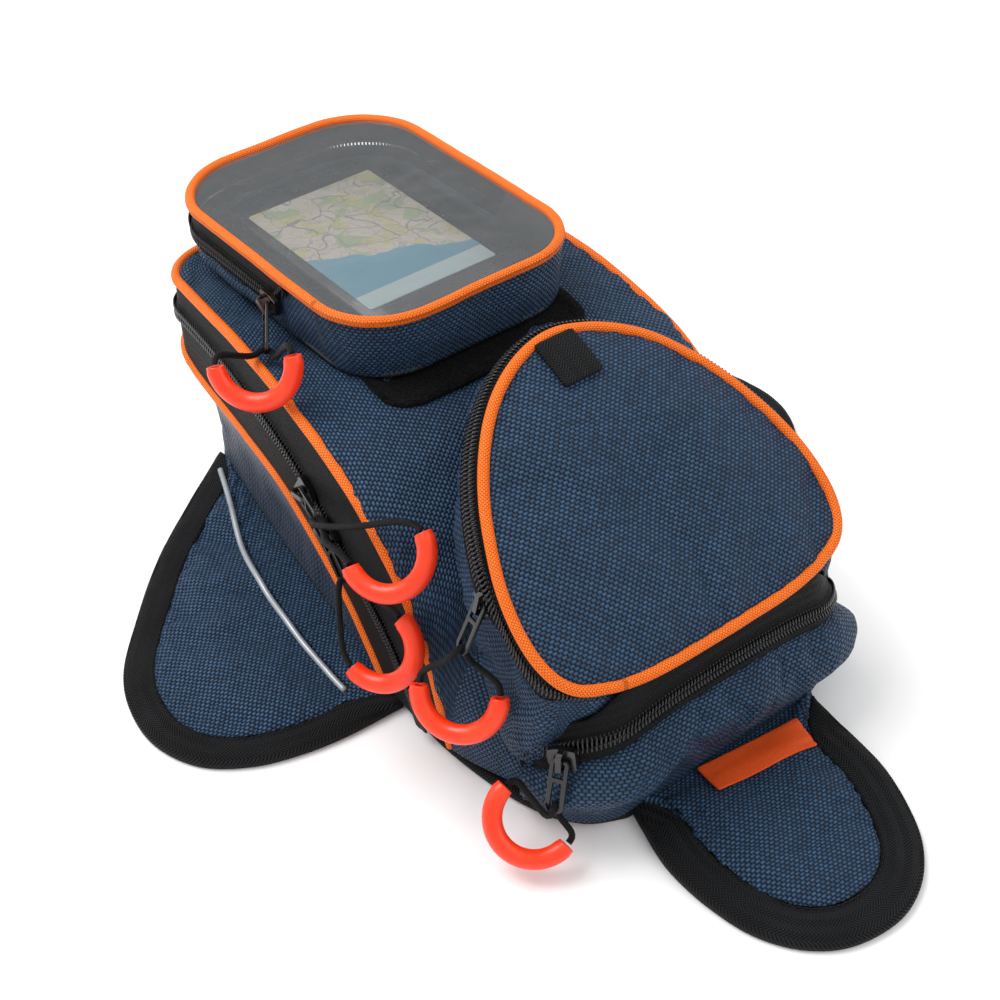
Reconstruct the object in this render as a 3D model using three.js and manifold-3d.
// A magnetic motorcycle tank bag: a clamshell main bag, an arch-lid pocket on its slope, a zipped tail
// pocket, a lift-off phone pouch and three magnetic flaps. Millimetres. The origin is the middle of the
// base's underside, +Y points to the handlebar, +X to the right and +Z up.
import * as THREE from "three";
import Module from "manifold-3d";
import { mergeVertices } from "three/addons/utils/BufferGeometryUtils.js";

const wasm = await Module();
wasm.setup();

// ---------------------------------------------------------------- driving dimensions
const GAP = 0.35; // left between neighbouring pieces
const FABRIC = 2.2; // a padded fabric wall
const TAPE = 1.4; // a zip tape with its coil
const PIPING_R = 2.6;
const SEAM = PIPING_R + GAP; // from a piping's middle to the fabric beside it
const SLANT_SEAM = 1.6 * SEAM; // the same, measured down a wall that meets the piping at a slant

// The bag's half width, seen from above, at stations along Y.
const bodyHalf = through([[-173, 54], [-167, 67], [-160, 75], [-150, 82], [-127, 90], [-91, 96], [-58, 96.5], [-27, 95], [20, 92],
  [70, 88], [126, 82], [173, 77]]);
const baseInset = through([[-173, 0], [-57, 2], [70, 6], [173, 9]]);
const FRONT = 173; // the handlebar end of the walls
const BASE_FRONT = 164; // and of the base
const CORNER_R = 27; // the handlebar end's corners, seen from above

// Heights of the four lines that run round the walls, at stations along Y.
const BASE_Z = 5;
const lowerSeamZ = through([[-48, 8], [-36, 22], [-20, 38], [0, 51], [30, 65.5], [50, 71], [82, 73], [139, 72],
  [160, 77], [173, 79]]);
const chainZ = through([[-80, 7], [-68, 28], [-58, 42], [-46, 54], [-10, 78], [22, 95], [54, 104], [90, 108],
  [145, 104], [173, 99]]);
const upperSeamZ = through([[-97, 8], [-92, 28], [-84, 58], [-72, 79], [-58, 95], [-27, 115], [20, 127],
  [70, 130], [126, 124], [173, 119]]);
const LOWER_SEAM_END = -48; // where each line meets the base on its way to the tail
const CHAIN_END = -80;
const UPPER_SEAM_END = -97;
const WALL_BULGE = 1.5; // how far the wall stands out past its upper seam

// The top panel.
const crownZ = through([[-150, 46], [-130, 60], [-90, 88], [-46, 115], [-20, 123], [20, 127.5], [70, 125],
  [126, 121.5], [173, 118]]);
const TOP_TAIL_NARROWING = 5; // where the tail pocket wraps round it
const TOP_END = -150; // the tail end of the top panel

// The arch-lid pocket: its lid lies in a plane that leans down to the tail.
const LID_APEX = new THREE.Vector3(0, -46.1, 167.4);
const LID_FOOT = new THREE.Vector3(0, -165.7, 84.6);
const lidHalf = [[0, 56], [5, 71], [12, 79], [24, 83.5], [40, 84.2], [58, 81.5], [76, 75.5], [94, 67.5],
  [110, 57.5], [124, 45.5], [135, 31.5], [142.5, 16]]; // up the slope, half width
const LID_LENGTH = 145.5;
const LID_THICK = 5;
const GUSSET_LEAN = 11; // how far the gusset's foot is nearer the handlebar than its top, at the apex
const POCKET_CHAIN_DROP = 9; // from the lid's edge down to the pocket's zip chain
const POCKET_ZIP_FROM = 4; // the zip leaves out this many points of the arch at each lower corner

// The tail pocket.
const TAIL_Y = -173;
const TAIL_CORNER_R = 30;
const TAIL_SIDE_Y = -139; // where the tail wall starts at each side
const TAIL_LEAN = 3; // how far the top of the tail wall leans in
const tailChainZ = through([[0, 67], [40, 65], [70, 58], [79, 52], [86, 40]]); // from the middle outwards

// The phone pouch, in its own frame: its floor's underside is z = 0 and its near edge is y = 0.
const POUCH_HALF = 65;
const POUCH_LENGTH = 180;
const POUCH_HEIGHT = 31;
const POUCH_NEAR_R = 34;
const POUCH_FAR_R = 40;
const POUCH_AT = new THREE.Vector3(0, 3, 133.8);
const POUCH_TILT = THREE.MathUtils.degToRad(-3.1);
const POUCH_CHAIN_Z = 17; // the zip chain's height
const POUCH_ZIP_FROM = 78; // the zip runs round the handlebar end from here
const FILM = 0.9;

// The magnetic flaps.
const FLAP_THICK = 4.4;
const MAGNET_THICK = 2.4;
const SIDE_BINDING = 15;
const TAIL_BINDING = 19;
const FLAP_ROOT_GAP = 4.2; // the bare cloth that bends between the base and a flap
const TAIL_FLAP_SKEW = THREE.MathUtils.degToRad(-7.5);
const TAIL_FLAP_X = 4; // the middle of its root

// The pulls.
const CORD_R = 1.5;
const GRIP_R = 4.5; // the moulded grip's section
const GRIP_ARC_R = 18.5;
const GRIP_TURN = THREE.MathUtils.degToRad(184);
const PULLER_LENGTH = 25;
const PULLER_WIDTH = 8.4;
const PULLER_THICK = 1.6;
const LIFT = 1.2; // the slider's underside over the zip tape
const PIVOT_HEIGHT = 4.3; // the puller's bar over that

const COLOUR = {
  navy: 0x24395c, black: 0x141517, orange: 0xff7a1c, grip: 0xff4a1a, metal: 0x1b1c1e, film: 0xb9bdc0,
  silver: 0xb4b8bc, grey: 0x3b3d40, card: 0xcfd8cc, board: 0x5a5c5f, magnet: 0x77797c,
};

const bag = new THREE.Group();

// ---------------------------------------------------------------- helpers
// A smooth function through stations, sorted by their first value.
function through(stations) {
  const slope = (a, b) => (b[1] - a[1]) / (b[0] - a[0]);
  const tangents = stations.map((s, i) => {
    const before = stations[Math.max(i - 1, 0)];
    const after = stations[Math.min(i + 1, stations.length - 1)];
    return slope(before, after);
  });
  return (at) => {
    const last = stations.length - 2;
    let i = 0;
    while (i < last && at > stations[i + 1][0]) i += 1;
    const [x0, y0] = stations[i];
    const [x1, y1] = stations[i + 1];
    const h = x1 - x0;
    const t = THREE.MathUtils.clamp((at - x0) / h, 0, 1);
    const t2 = t * t;
    const t3 = t2 * t;
    return y0 * (2 * t3 - 3 * t2 + 1) + y1 * (3 * t2 - 2 * t3)
      + h * (tangents[i] * (t3 - 2 * t2 + t) + tangents[i + 1] * (t3 - t2));
  };
}

function add(name, geometry, colour, roughness, metalness = 0, parent = bag) {
  const material = new THREE.MeshStandardMaterial({ color: colour, roughness, metalness });
  const mesh = new THREE.Mesh(geometry, material);
  mesh.name = name;
  parent.add(mesh);
  return mesh;
}

// A closed mesh from points and quads, with its faces turned outwards.
function closedMesh(points, quads) {
  let volume = 0;
  const triangles = quads.flatMap(([a, b, c, d]) => (d === undefined ? [[a, b, c]] : [[a, b, c], [a, c, d]]));
  const cross = new THREE.Vector3();
  for (const [a, b, c] of triangles) volume += points[a].dot(cross.crossVectors(points[b], points[c]));
  const index = triangles.flatMap(([a, b, c]) => (volume > 0 ? [a, b, c] : [a, c, b]));
  const geometry = new THREE.BufferGeometry();
  geometry.setAttribute("position", new THREE.Float32BufferAttribute(points.flatMap((p) => p.toArray()), 3));
  geometry.setIndex(index);
  geometry.computeVertexNormals();
  return geometry;
}

// A sheet of cloth with a thickness: rows of points make its outer face, and its inner face is offset
// along the normals. A looped sheet joins its last row to its first.
function sheet(rows, thickness, looped = false) {
  const n = rows.length;
  const m = rows[0].length;
  const row = (i) => (looped ? (i + n) % n : THREE.MathUtils.clamp(i, 0, n - 1));
  const inner = rows.map((r, i) => r.map((p, j) => {
    const along = rows[row(i + 1)][j].clone().sub(rows[row(i - 1)][j]);
    const across = r[Math.min(j + 1, m - 1)].clone().sub(r[Math.max(j - 1, 0)]);
    return p.clone().addScaledVector(along.cross(across).normalize(), thickness);
  }));
  const points = [...rows.flat(), ...inner.flat()];
  const outerAt = (i, j) => (i % n) * m + j;
  const innerAt = (i, j) => n * m + outerAt(i, j);
  const quads = [];
  const strips = looped ? n : n - 1;
  for (let i = 0; i < strips; i += 1) {
    for (let j = 0; j < m - 1; j += 1) {
      quads.push([outerAt(i, j), outerAt(i + 1, j), outerAt(i + 1, j + 1), outerAt(i, j + 1)]);
      quads.push([innerAt(i, j + 1), innerAt(i + 1, j + 1), innerAt(i + 1, j), innerAt(i, j)]);
    }
    quads.push([outerAt(i + 1, 0), outerAt(i, 0), innerAt(i, 0), innerAt(i + 1, 0)]);
    quads.push([outerAt(i, m - 1), outerAt(i + 1, m - 1), innerAt(i + 1, m - 1), innerAt(i, m - 1)]);
  }
  for (let j = 0; j < m - 1 && !looped; j += 1) {
    quads.push([outerAt(0, j), outerAt(0, j + 1), innerAt(0, j + 1), innerAt(0, j)]);
    quads.push([outerAt(n - 1, j + 1), outerAt(n - 1, j), innerAt(n - 1, j), innerAt(n - 1, j + 1)]);
  }
  return closedMesh(points, quads);
}

// A round bar along points; a looped one has no ends.
function bar(points, radius, sides = 8, looped = false) {
  const curve = new THREE.CatmullRomCurve3(points, looped);
  const steps = points.length - (looped ? 0 : 1);
  if (!looped) {
    const section = new THREE.Shape(ring2(radius, sides));
    return new THREE.ExtrudeGeometry(section, { steps, extrudePath: curve, bevelEnabled: false });
  }
  const frames = curve.computeFrenetFrames(steps, true);
  const rings = Array.from({ length: steps }, (_, i) => {
    const middle = curve.getPointAt(i / steps);
    return ring2(radius, sides).map((p) => middle.clone()
      .addScaledVector(frames.normals[i], p.x).addScaledVector(frames.binormals[i], p.y));
  });
  const quads = [];
  for (let i = 0; i < steps; i += 1) {
    const next = (i + 1) % steps;
    for (let j = 0; j < sides; j += 1) {
      const k = (j + 1) % sides;
      quads.push([i * sides + j, next * sides + j, next * sides + k, i * sides + k]);
    }
  }
  return closedMesh(rings.flat(), quads);
}

function ring2(radius, sides) {
  return Array.from({ length: sides }, (_, i) => {
    const angle = (2 * Math.PI * i) / sides;
    return new THREE.Vector2(radius * Math.cos(angle), radius * Math.sin(angle));
  });
}

function toSolid(geometry) {
  const bare = geometry.clone();
  bare.deleteAttribute("normal");
  bare.deleteAttribute("uv");
  const merged = mergeVertices(bare, 1e-4);
  return new wasm.Manifold(new wasm.Mesh({
    numProp: 3,
    vertProperties: new Float32Array(merged.attributes.position.array),
    triVerts: new Uint32Array(merged.index.array),
  }));
}

function fromSolid(solid) {
  const mesh = solid.getMesh();
  const geometry = new THREE.BufferGeometry();
  geometry.setAttribute("position", new THREE.BufferAttribute(mesh.vertProperties, 3));
  geometry.setIndex(new THREE.BufferAttribute(mesh.triVerts, 1));
  return geometry;
}

function plate(shape, depth, lift = 0) {
  const geometry = new THREE.ExtrudeGeometry(shape, { depth, bevelEnabled: false, curveSegments: 6 });
  return geometry.translate(0, 0, lift);
}

// Points part of the way from one line to another, a distance in from each.
function between(low, high, lowGap, highGap, count = 2) {
  return low.map((a, i) => {
    const b = high[i];
    const length = a.distanceTo(b);
    const from = lowGap / length;
    const to = 1 - highGap / length;
    return Array.from({ length: count }, (_, j) => a.clone().lerp(b, from + (to - from) * (j / (count - 1))));
  });
}

// ---------------------------------------------------------------- lines round the walls
// A line from the tail end of the left wall, round the handlebar end, to the tail end of the right wall.
// Its points are closer together at the tail, where the lines drop to the base.
function wallLine(half, front, radius, height, from) {
  const left = [];
  const sideSteps = 13;
  const arcSteps = 4;
  const arcStart = front - radius;
  for (let i = 0; i <= sideSteps; i += 1) {
    const y = from + (arcStart - from) * (i / sideSteps) ** 1.5;
    left.push(new THREE.Vector3(-half(y), y, height(y)));
  }
  const arcHalf = half(arcStart);
  for (let i = 1; i <= arcSteps; i += 1) {
    const angle = (i / arcSteps) * (Math.PI / 2);
    const y = arcStart + radius * Math.sin(angle);
    left.push(new THREE.Vector3(-(arcHalf - radius * (1 - Math.cos(angle))), y, height(y)));
  }
  left.push(new THREE.Vector3(-(arcHalf - radius) / 2, front, height(front)));
  const right = left.map((p) => new THREE.Vector3(-p.x, p.y, p.z)).reverse();
  return [...left, ...right];
}

const wallHalf = (y) => bodyHalf(y) + WALL_BULGE;
const baseHalf = (y) => bodyHalf(y) - baseInset(y);
const flat = (z) => () => z;
const baseLine = wallLine(baseHalf, BASE_FRONT, CORNER_R, flat(BASE_Z), LOWER_SEAM_END);
const lowerSeam = wallLine(wallHalf, FRONT, CORNER_R, lowerSeamZ, LOWER_SEAM_END);
const chain = wallLine(wallHalf, FRONT, CORNER_R, chainZ, CHAIN_END);
const upperSeam = wallLine(bodyHalf, FRONT, CORNER_R, upperSeamZ, UPPER_SEAM_END);

// ---------------------------------------------------------------- base and main compartment
const edgeOfBase = () => wallLine(baseHalf, BASE_FRONT, CORNER_R, flat(0), TAIL_Y)
  .map((p) => new THREE.Vector2(p.x, p.y));

function baseShape(inset) {
  return new THREE.Shape(insetOutline(edgeOfBase(), -inset, true));
}

function addBase() {
  const skinThick = 1.5;
  const boardThick = 2;
  const bindingWidth = 6;
  const boardInset = 12;
  const edge = edgeOfBase();
  add("base_skin", plate(baseShape(bindingWidth + 3 * GAP), skinThick), COLOUR.black, 0.9);
  add("base_stiffener", plate(baseShape(boardInset), boardThick, skinThick + GAP), COLOUR.board, 0.8);
  const inner = insetOutline(edge, -bindingWidth, true);
  const rows = edge.map((p, i) => [new THREE.Vector3(p.x, p.y, 0), new THREE.Vector3(inner[i].x, inner[i].y, 0)]);
  add("base_binding", sheet(rows, 2 * GAP - BASE_Z, true), COLOUR.black, 0.9);
}

function addMainCompartment() {
  add("side_wall", sheet(between(baseLine, lowerSeam, GAP, SLANT_SEAM), FABRIC), COLOUR.navy, 0.8);
  add("lower_piping", bar(lowerSeam, PIPING_R), COLOUR.orange, 0.6);
  add("main_zip_lower", sheet(between(lowerSeam, chain, SLANT_SEAM, GAP), TAPE), COLOUR.black, 0.7);
  add("main_zip_upper", sheet(between(chain, upperSeam, GAP, SLANT_SEAM), TAPE), COLOUR.black, 0.7);
  add("upper_piping", bar(upperSeam, PIPING_R), COLOUR.orange, 0.6);
}

// The top panel's half width, inside its piping, round the handlebar corners and inside the tail pocket.
function topReach(y) {
  const cornerStart = FRONT - CORNER_R;
  const narrowing = TOP_TAIL_NARROWING * THREE.MathUtils.smoothstep(-y, -UPPER_SEAM_END, -TAIL_SIDE_Y);
  if (y < cornerStart) return bodyHalf(y) - SLANT_SEAM - narrowing;
  const radius = CORNER_R - SLANT_SEAM;
  return bodyHalf(cornerStart) - CORNER_R + Math.sqrt(Math.max(radius ** 2 - (y - cornerStart) ** 2, 0));
}

// The top panel's height over a point: a crown between its two seams.
function topZ(x, y) {
  const edge = y > UPPER_SEAM_END ? upperSeamZ(y) : BASE_Z + 3;
  const across = Math.min(Math.abs(x) / topReach(Math.min(y, FRONT - CORNER_R)), 1);
  return edge + (crownZ(y) - edge) * (1 - across ** 3.4) ** (1 / 2.1);
}

function addTop() {
  const rows = [];
  const steps = 26;
  const half = 8;
  for (let i = 0; i <= steps; i += 1) {
    const y = TOP_END + ((FRONT - SLANT_SEAM - 0.1 - TOP_END) * i) / steps;
    const reach = topReach(y);
    const row = [];
    for (let j = -half; j <= half; j += 1) {
      const x = reach * Math.sin((j / half) * (Math.PI / 2));
      row.push(new THREE.Vector3(x, y, topZ(x, y)));
    }
    rows.push(row);
  }
  add("top_panel", sheet(rows, FABRIC), COLOUR.navy, 0.8);
}

// ---------------------------------------------------------------- arch-lid pocket
const lidUp = LID_APEX.clone().sub(LID_FOOT).normalize();
const lidOut = new THREE.Vector3(1, 0, 0).cross(lidUp);
const onLid = (u, v, out = 0) => LID_FOOT.clone().add(new THREE.Vector3(u, 0, 0))
  .addScaledVector(lidUp, v).addScaledVector(lidOut, out);

// The lid's arch from its lower left corner over the apex to its lower right corner.
function archLine() {
  const left = lidHalf.map(([v, half]) => onLid(-half, v));
  const right = lidHalf.map(([v, half]) => onLid(half, v)).reverse();
  return [...left, onLid(0, LID_LENGTH), ...right];
}

function addArchPocket() {
  const edge = archLine();
  const foot = edge.map((p) => {
    const rise = (p.z - LID_FOOT.z) / (LID_APEX.z - LID_FOOT.z);
    const x = p.x * 0.9;
    const y = Math.max(p.y + GUSSET_LEAN * rise + 4, TOP_END + 4);
    return new THREE.Vector3(x, y, topZ(x, y) + 2);
  });
  const dropped = (drop) => edge.map((p, i) => p.clone().lerp(foot[i], drop / p.distanceTo(foot[i])));
  const zipped = (line) => line.slice(POCKET_ZIP_FROM, -POCKET_ZIP_FROM);
  const chainHere = dropped(POCKET_CHAIN_DROP);
  const tapeEnd = dropped(2 * POCKET_CHAIN_DROP);
  const seamed = dropped(SEAM + GAP);
  const gussetTop = [...seamed.slice(0, POCKET_ZIP_FROM), ...zipped(tapeEnd), ...seamed.slice(-POCKET_ZIP_FROM)];
  add("pocket_gusset", sheet(between(foot, gussetTop, 3, GAP), FABRIC), COLOUR.navy, 0.8);
  add("pocket_zip_lower", sheet(between(zipped(tapeEnd), zipped(chainHere), GAP, GAP), TAPE),
    COLOUR.black, 0.7);
  add("pocket_zip_upper", sheet(between(zipped(chainHere), zipped(seamed), GAP, GAP), TAPE),
    COLOUR.black, 0.7);
  const sag = 2; // the lower edge bows out a little
  const lower = [0.6, 0.2, -0.2, -0.6].map((t) => onLid(t * lidHalf[0][1], -sag));
  add("lid_piping", bar([...edge, ...lower], PIPING_R, 8, true), COLOUR.orange, 0.6);
  const outline = edge.map((p) => new THREE.Vector2(p.x, p.clone().sub(LID_FOOT).dot(lidUp)));
  const panel = new THREE.Shape(insetOutline(outline, -(SEAM + 4 * GAP), true));
  const lid = add("lid_panel", plate(panel, LID_THICK, -LID_THICK / 2), COLOUR.navy, 0.8);
  lid.position.copy(LID_FOOT);
  lid.rotation.x = Math.atan2(lidUp.z, lidUp.y);
  const tab = new THREE.BoxGeometry(21, 21, 2.4);
  const tabMesh = add("lid_tab", tab, COLOUR.black, 0.8);
  tabMesh.position.copy(onLid(0, LID_LENGTH - 15.5, LID_THICK / 2 + 1.2 + GAP));
  tabMesh.rotation.x = lid.rotation.x;
}

// ---------------------------------------------------------------- tail pocket
// A line round the tail from the left side to the right side.
function tailLine(height, lean = 0) {
  const left = [];
  const sideHalf = bodyHalf(TAIL_SIDE_Y) - lean / 2;
  const y0 = TAIL_Y + lean;
  left.push(new THREE.Vector3(-sideHalf, TAIL_SIDE_Y, 0));
  for (let i = 0; i <= 5; i += 1) {
    const angle = (i / 5) * (Math.PI / 2);
    left.push(new THREE.Vector3(
      -(sideHalf - 3 - TAIL_CORNER_R * (1 - Math.cos(angle))),
      y0 + TAIL_CORNER_R * (1 - Math.sin(angle)),
      0,
    ));
  }
  left.push(new THREE.Vector3(-24, y0, 0));
  const line = [...left, ...left.map((p) => new THREE.Vector3(-p.x, p.y, 0)).reverse()];
  line.forEach((p) => p.setZ(height(Math.abs(p.x))));
  return line;
}

function addTailPocket() {
  const foot = tailLine(flat(BASE_Z + GAP));
  const tapeHalf = 9;
  const lowTape = tailLine((x) => tailChainZ(x) - tapeHalf, 0.7 * TAIL_LEAN);
  const chainHere = tailLine(tailChainZ, 0.85 * TAIL_LEAN);
  const highTape = tailLine((x) => tailChainZ(x) + tapeHalf + 2, TAIL_LEAN);
  add("tail_wall", sheet(between(foot, lowTape, GAP, GAP), -FABRIC), COLOUR.navy, 0.8);
  add("tail_zip_lower", sheet(between(lowTape, chainHere, GAP, GAP), -TAPE), COLOUR.black, 0.7);
  add("tail_zip_upper", sheet(between(chainHere, highTape, GAP, GAP), -TAPE), COLOUR.black, 0.7);
  addPartition();
}

// The cloth between the tail pocket and the main compartment, under the tail end of the top panel.
function addPartition() {
  const thick = 1.4;
  const clear = 4; // from the top panel's outer face
  const top = Array.from({ length: 11 }, (_, i) => {
    const x = (topReach(TOP_END) - clear) * Math.sin((i / 5 - 1) * (Math.PI / 2));
    return new THREE.Vector2(x, Math.max(topZ(x, TOP_END) - clear, BASE_Z + GAP + 1));
  });
  const shape = new THREE.Shape([new THREE.Vector2(top[0].x, BASE_Z + GAP), ...top,
    new THREE.Vector2(top[10].x, BASE_Z + GAP)]);
  add("tail_partition", plate(shape, thick).rotateX(Math.PI / 2).translate(0, TOP_END + clear, 0),
    COLOUR.black, 0.9);
}

// ---------------------------------------------------------------- phone pouch
function pouchLine(inset, height) {
  const corners = [
    [-1, 0, POUCH_NEAR_R, Math.PI], [1, 0, POUCH_NEAR_R, -Math.PI / 2],
    [1, POUCH_LENGTH, POUCH_FAR_R, 0], [-1, POUCH_LENGTH, POUCH_FAR_R, Math.PI / 2],
  ];
  const line = [];
  const steps = 5;
  for (const [side, y, radius, start] of corners) {
    const cx = side * (POUCH_HALF - radius);
    const cy = y + (y > 0 ? -radius : radius);
    for (let i = 0; i <= steps; i += 1) {
      const angle = start + (i / steps) * (Math.PI / 2);
      line.push(new THREE.Vector3(
        cx + (radius - inset) * Math.cos(angle),
        cy + (radius - inset) * Math.sin(angle),
        0,
      ));
    }
    if (side > 0 && y === 0) line.push(...sidePoints(POUCH_HALF - inset));
    if (side < 0 && y > 0) line.push(...sidePoints(-(POUCH_HALF - inset)).reverse());
  }
  line.forEach((p) => p.setZ(height(p.y)));
  return line;
}

// Points along one long side of the pouch, close together where the zip ends.
function sidePoints(x) {
  return [0.25, 0.75, 1.25, 1.75].map((t) => new THREE.Vector3(x, POUCH_ZIP_FROM - 12 + 12 * t, 0))
    .concat(new THREE.Vector3(x, 118, 0));
}

function addPouch() {
  const pouch = new THREE.Group();
  pouch.position.copy(POUCH_AT);
  pouch.rotation.x = POUCH_TILT;
  bag.add(pouch);
  const floorThick = 2;
  const wallTop = POUCH_HEIGHT - SEAM;
  const lowTapeZ = POUCH_CHAIN_Z - 7;
  // The wall is full height by the rider and steps down to the zip tape where the zip begins.
  const open = (y) => THREE.MathUtils.smoothstep(y, POUCH_ZIP_FROM - 10, POUCH_ZIP_FROM + 10);
  const wallZ = (y) => THREE.MathUtils.lerp(wallTop - 1.6, lowTapeZ, open(y));
  const chainLow = (y) => Math.max(POUCH_CHAIN_Z, wallZ(y) + 0.6);
  const shape = (inset) => new THREE.Shape(pouchLine(inset, flat(0)).map((p) => new THREE.Vector2(p.x, p.y)));
  add("pouch_floor", plate(shape(FABRIC + GAP), floorThick), COLOUR.grey, 0.85, 0, pouch);
  add("pouch_wall", sheet(between(pouchLine(0, flat(0)), pouchLine(0, wallZ), 0, 0), -FABRIC, true),
    COLOUR.navy, 0.8, 0, pouch);
  add("pouch_zip_lower", sheet(
    between(pouchLine(0, (y) => wallZ(y) + 0.3), pouchLine(0, chainLow), 0, 0), -TAPE, true,
  ), COLOUR.black, 0.7, 0, pouch);
  add("pouch_zip_upper", sheet(
    between(pouchLine(0, (y) => chainLow(y) + 0.3), pouchLine(0, flat(wallTop)), 0, 0), -TAPE, true,
  ), COLOUR.black, 0.7, 0, pouch);
  add("pouch_piping", bar(pouchLine(0, flat(POUCH_HEIGHT)), PIPING_R, 8, true), COLOUR.orange, 0.6, 0, pouch);
  add("window_film", plate(shape(SEAM + 2 * GAP), FILM, POUCH_HEIGHT - FILM / 2), COLOUR.film, 0.1, 0, pouch);
  const card = new THREE.BoxGeometry(78, 138, 6);
  const cardMesh = add("insert_card", card, COLOUR.card, 0.5, 0, pouch);
  cardMesh.position.set(5, 98, floorThick + GAP + 3);
  const hook = new THREE.BoxGeometry(104, 140, 1);
  const hookMesh = add("pouch_hook_patch", hook, COLOUR.black, 0.95, 0, pouch);
  hookMesh.position.set(0, 88, -0.5 - GAP);
}

// The fuzzy patch on the top panel that the pouch sticks to: it follows the crown.
function addLoopPatch() {
  const rows = [];
  for (let i = 0; i <= 8; i += 1) {
    const y = -9 + (160 * i) / 8;
    const row = [];
    for (let j = -3; j <= 3; j += 1) {
      const x = (j / 3) * 58;
      row.push(new THREE.Vector3(x, y, topZ(x, y) + 1.3));
    }
    rows.push(row);
  }
  add("loop_patch", sheet(rows, 0.9), COLOUR.black, 1);
}

// ---------------------------------------------------------------- flaps
// A flap's free edge as seen from above; its two ends run in under the bag, where they are cut off.
const sideOutline = [[-60, 158], [-72, 152], [-86, 142], [-106, 127], [-141, 98], [-170, 67], [-191, 41],
  [-200, 18], [-201, -7], [-191, -30], [-172, -45], [-150, -53], [-126, -57], [-104, -58], [-80, -58]];
const tailOutline = [[-50, 12], [-53, -10], [-57, -30], [-57, -46], [-53, -66], [-45, -86], [-31, -102],
  [-12, -111], [12, -111], [31, -102], [45, -86], [53, -66], [57, -46], [57, -28], [55, 4], [54, 16]];

// Moves an outline's points sideways, square to the outline.
function insetOutline(points, distance, closed = false) {
  const n = points.length;
  const at = (i) => points[closed ? (i + n) % n : THREE.MathUtils.clamp(i, 0, n - 1)];
  return points.map((p, i) => {
    const along = at(i + 1).clone().sub(at(i - 1)).normalize();
    return new THREE.Vector2(p.x - along.y * distance, p.y + along.x * distance);
  });
}

const toOutline = (list) => list.map(([x, y]) => new THREE.Vector2(x, y));

// A padded flap with a binding round its free edge and a flat magnet let into its underside. Both are cut
// off beside the base, where the flap is sewn on.
function addFlap(name, outline, bindingWidth, magnetAt, magnetSize, turn) {
  const keepClear = toSolid(plate(baseShape(-FLAP_ROOT_GAP), 4 * FLAP_THICK, -FLAP_THICK));
  const slab = toSolid(plate(new THREE.Shape(insetOutline(outline, bindingWidth + GAP)), FLAP_THICK));
  const place = (box) => box.rotateZ(turn).translate(magnetAt[0], magnetAt[1], 0);
  const recess = new THREE.BoxGeometry(magnetSize[0] + 2 * GAP, magnetSize[1] + 2 * GAP, 2 * MAGNET_THICK);
  const panel = slab.subtract(toSolid(place(recess))).subtract(keepClear);
  add(`${name}_panel`, fromSolid(panel), COLOUR.navy, 0.8);
  const magnet = new THREE.BoxGeometry(magnetSize[0], magnetSize[1], MAGNET_THICK - 2 * GAP);
  add(`${name}_magnet`, place(magnet).translate(0, 0, MAGNET_THICK / 2), COLOUR.magnet, 0.4, 0.8);
  const innerEdge = insetOutline(outline, bindingWidth);
  const rows = outline.map((p, i) => [
    new THREE.Vector3(p.x, p.y, 0),
    new THREE.Vector3(innerEdge[i].x, innerEdge[i].y, 0),
  ]);
  const binding = toSolid(sheet(rows, FLAP_THICK)).subtract(keepClear);
  add(`${name}_binding`, fromSolid(binding), COLOUR.black, 0.9);
}

function addFlaps() {
  const left = toOutline(sideOutline);
  const right = left.map((p) => new THREE.Vector2(-p.x, p.y)).reverse();
  const reflector = [[-84, 126], [-92, 105], [-106, 68], [-114, 12], [-115, -37]];
  for (const [name, sign, outline] of [["left_flap", 1, left], ["right_flap", -1, right]]) {
    addFlap(name, outline, SIDE_BINDING, [sign * -143, 20], [38, 52], 0);
    const strip = new THREE.CatmullRomCurve3(reflector.map(
      ([x, y]) => new THREE.Vector3(sign * x, y, FLAP_THICK + GAP + 1.2),
    ));
    add(`${name}_reflector`, bar(strip.getPoints(14), 1.2), COLOUR.silver, 0.3);
  }
  const root = new THREE.Vector2(TAIL_FLAP_X, TAIL_Y);
  const turned = (x, y) => new THREE.Vector2(x, y).rotateAround(new THREE.Vector2(), TAIL_FLAP_SKEW).add(root);
  const middle = turned(0, -54);
  addFlap("tail_flap", tailOutline.map(([x, y]) => turned(x, y)), TAIL_BINDING, [middle.x, middle.y], [48, 34],
    TAIL_FLAP_SKEW);
  const label = add("tail_label", new THREE.BoxGeometry(56, 14, 1), COLOUR.orange, 0.7);
  const labelAt = turned(10, -12.5);
  label.position.set(labelAt.x, labelAt.y, FLAP_THICK + GAP + 0.5);
  label.rotation.z = TAIL_FLAP_SKEW;
}

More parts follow.
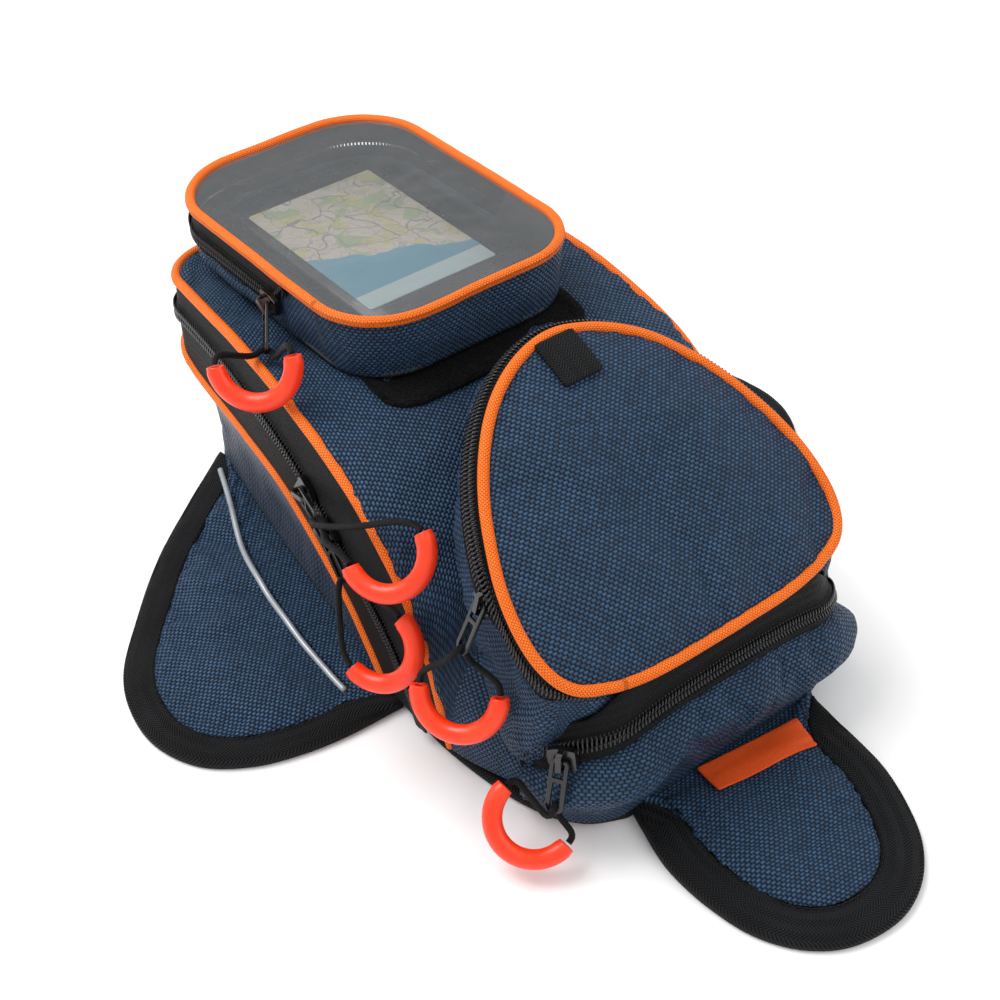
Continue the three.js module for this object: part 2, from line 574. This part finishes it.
// ---------------------------------------------------------------- zip sliders and pulls
// A slider at a point of a chain. travel is the way it slides, out is the way off the tape and hang is the
// way its puller lies. grip holds the middle of the grip's arc, the way across its ends, the way down and
// how far the cord bows off the cloth.
function addPull(name, at, travel, out, hang, grip) {
  const normal = out.clone().normalize();
  const along = travel.clone().addScaledVector(normal, -travel.dot(normal)).normalize();
  const base = new THREE.Matrix4().makeBasis(along, normal.clone().cross(along), normal);
  base.setPosition(at);
  const flatHang = hang.clone().addScaledVector(normal, -hang.dot(normal)).normalize();
  const turned = new THREE.Matrix4().makeBasis(flatHang, normal.clone().cross(flatHang), normal);
  turned.setPosition(at);
  const slabTop = LIFT + 2.9;
  const slabShape = new THREE.Shape(toOutline([[-6.5, -3.6], [-2, -5.4], [6, -5.4], [6.5, -4.8], [6.5, 4.8],
    [6, 5.4], [-2, 5.4], [-6.5, 3.6]]));
  const slab = toSolid(plate(slabShape, slabTop - LIFT, LIFT).applyMatrix4(base));
  const arch = new THREE.Shape(toOutline([[-5.4, slabTop - 0.8], [5.4, slabTop - 0.8],
    [5.4, slabTop + 2.4], [4.2, slabTop + 4.2], [-4.2, slabTop + 4.2], [-5.4, slabTop + 2.4]]));
  const opening = new THREE.Path(toOutline([[-3.9, slabTop - 0.4], [-3.9, slabTop + 2], [-3.4, slabTop + 2.8],
    [3.4, slabTop + 2.8], [3.9, slabTop + 2], [3.9, slabTop - 0.4]]));
  arch.holes.push(opening);
  const bridge = plate(arch, 2.6, -1.3).rotateX(Math.PI / 2).applyMatrix4(turned);
  add(`${name}_slider`, fromSolid(slab.add(toSolid(bridge))), COLOUR.metal, 0.35, 0.8);

  const pivot = at.clone().addScaledVector(normal, PIVOT_HEIGHT + LIFT);
  const side = normal.clone().cross(flatHang);
  const face = hang.clone().normalize().cross(side);
  const pulled = new THREE.Matrix4().makeBasis(side.clone().cross(face), side, face);
  pulled.setPosition(pivot);
  const w = PULLER_WIDTH / 2;
  const end = PULLER_LENGTH;
  const outline = new THREE.Shape(toOutline([[-0.7, -w + 1], [1, -w], [end - 4, -w], [end - 1, -w * 0.7],
    [end, 0], [end - 1, w * 0.7], [end - 4, w], [1, w], [-0.7, w - 1]]));
  outline.holes.push(new THREE.Path(toOutline([[0.8, -2.4], [0.8, 2.4], [8, 2.5], [8, -2.5]])));
  outline.holes.push(new THREE.Path(toOutline([[10, -2], [10, 2], [end - 4, 2.3], [end - 2, 1.2],
    [end - 2, -1.2], [end - 4, -2.3]])));
  add(`${name}_puller`, plate(outline, PULLER_THICK, -PULLER_THICK / 2).applyMatrix4(pulled),
    COLOUR.metal, 0.35, 0.8);

  const across = grip.across.clone().normalize();
  const down = grip.down.clone().addScaledVector(across, -grip.down.dot(across)).normalize();
  const arc = Array.from({ length: 13 }, (_, i) => {
    const angle = GRIP_TURN * (i / 12 - 0.5);
    return grip.at.clone().addScaledVector(down, GRIP_ARC_R * Math.cos(angle))
      .addScaledVector(across, GRIP_ARC_R * Math.sin(angle));
  });
  add(`${name}_grip`, bar(arc, GRIP_R, 10), COLOUR.grip, 0.4);

  // The cord leaves one end of the grip, passes through the puller's eye and enters the other end.
  const clear = PULLER_THICK / 2 + CORD_R + 0.6;
  const eye = (x, y, z) => new THREE.Vector3(end + x, y, z).applyMatrix4(pulled);
  const leave = (i, d) => arc[i].clone().addScaledVector(down, -d);
  const firstSide = Math.sign(leave(0, 0).sub(eye(0, 0, 0)).dot(face)) || 1;
  const near = eye(1, 0, firstSide * (clear + 0.8));
  const far = eye(1, 0, -firstSide * (clear + 0.8));
  const bowed = (a, b) => a.clone().lerp(b, 0.5).addScaledVector(normal, grip.bow);
  const curve = new THREE.CatmullRomCurve3([leave(0, 1.2), leave(0, 5), bowed(leave(0, 5), near), near,
    eye(-4.4, 0, firstSide * 1.1), eye(-4.4, 0, -firstSide * 1.1), far, bowed(leave(12, 5), far),
    leave(12, 5), leave(12, 1.2)]);
  add(`${name}_cord`, bar(curve.getPoints(28), CORD_R), COLOUR.black, 0.9);
}

const v3 = (x, y, z) => new THREE.Vector3(x, y, z);

function addPulls() {
  const wallOut = v3(-1, 0, 0.1);
  const chainStep = v3(0, 32, 17);
  const onChain = (y) => v3(-wallHalf(y) - 0.5, y, chainZ(y));
  addPull("main_front", onChain(10), chainStep, wallOut, v3(-0.25, -0.95, 0.2),
    { at: v3(-101, -63, 110), across: v3(0.71, -0.49, 0.5), down: v3(-0.2, -0.69, -0.7), bow: 6 });
  addPull("main_rear", onChain(-9), v3(-1.4, -32, -21), wallOut, v3(-0.14, -0.87, -0.48),
    { at: v3(-114, -70, 66), across: v3(0.54, -0.32, 0.77), down: v3(0.18, -0.86, -0.49), bow: 1 });
  addPull("pocket", v3(-82, -112, 107), v3(0.25, 0.8, 0.55), v3(-0.93, 0.1, 0.3), v3(-0.5, -0.05, -0.86),
    { at: v3(-103.4, -116.6, 68.6), across: v3(0.55, -0.82, 0.12), down: v3(-0.39, -0.37, -0.84), bow: 0 });
  addPull("tail", v3(-79.5, -158.8, 51), v3(0.5, -0.87, 0.15), v3(-0.87, -0.5, 0.1), v3(-0.33, -0.25, -0.92),
    { at: v3(-98, -162, 25), across: v3(0.3, -0.75, -0.55), down: v3(-0.75, 0, -0.4), bow: 0 });
  addPull("pouch", v3(-66, 76, 146), v3(0, 1, -0.05), v3(-1, 0, 0), v3(-0.5, -0.72, -0.46),
    { at: v3(-100.3, 38.3, 149.1), across: v3(0.71, -0.66, 0.23), down: v3(-0.35, -0.2, -0.9), bow: 0 });
}

addBase();
addMainCompartment();
addTop();
addArchPocket();
addTailPocket();
addPouch();
addLoopPatch();
addFlaps();
addPulls();

export default bag;
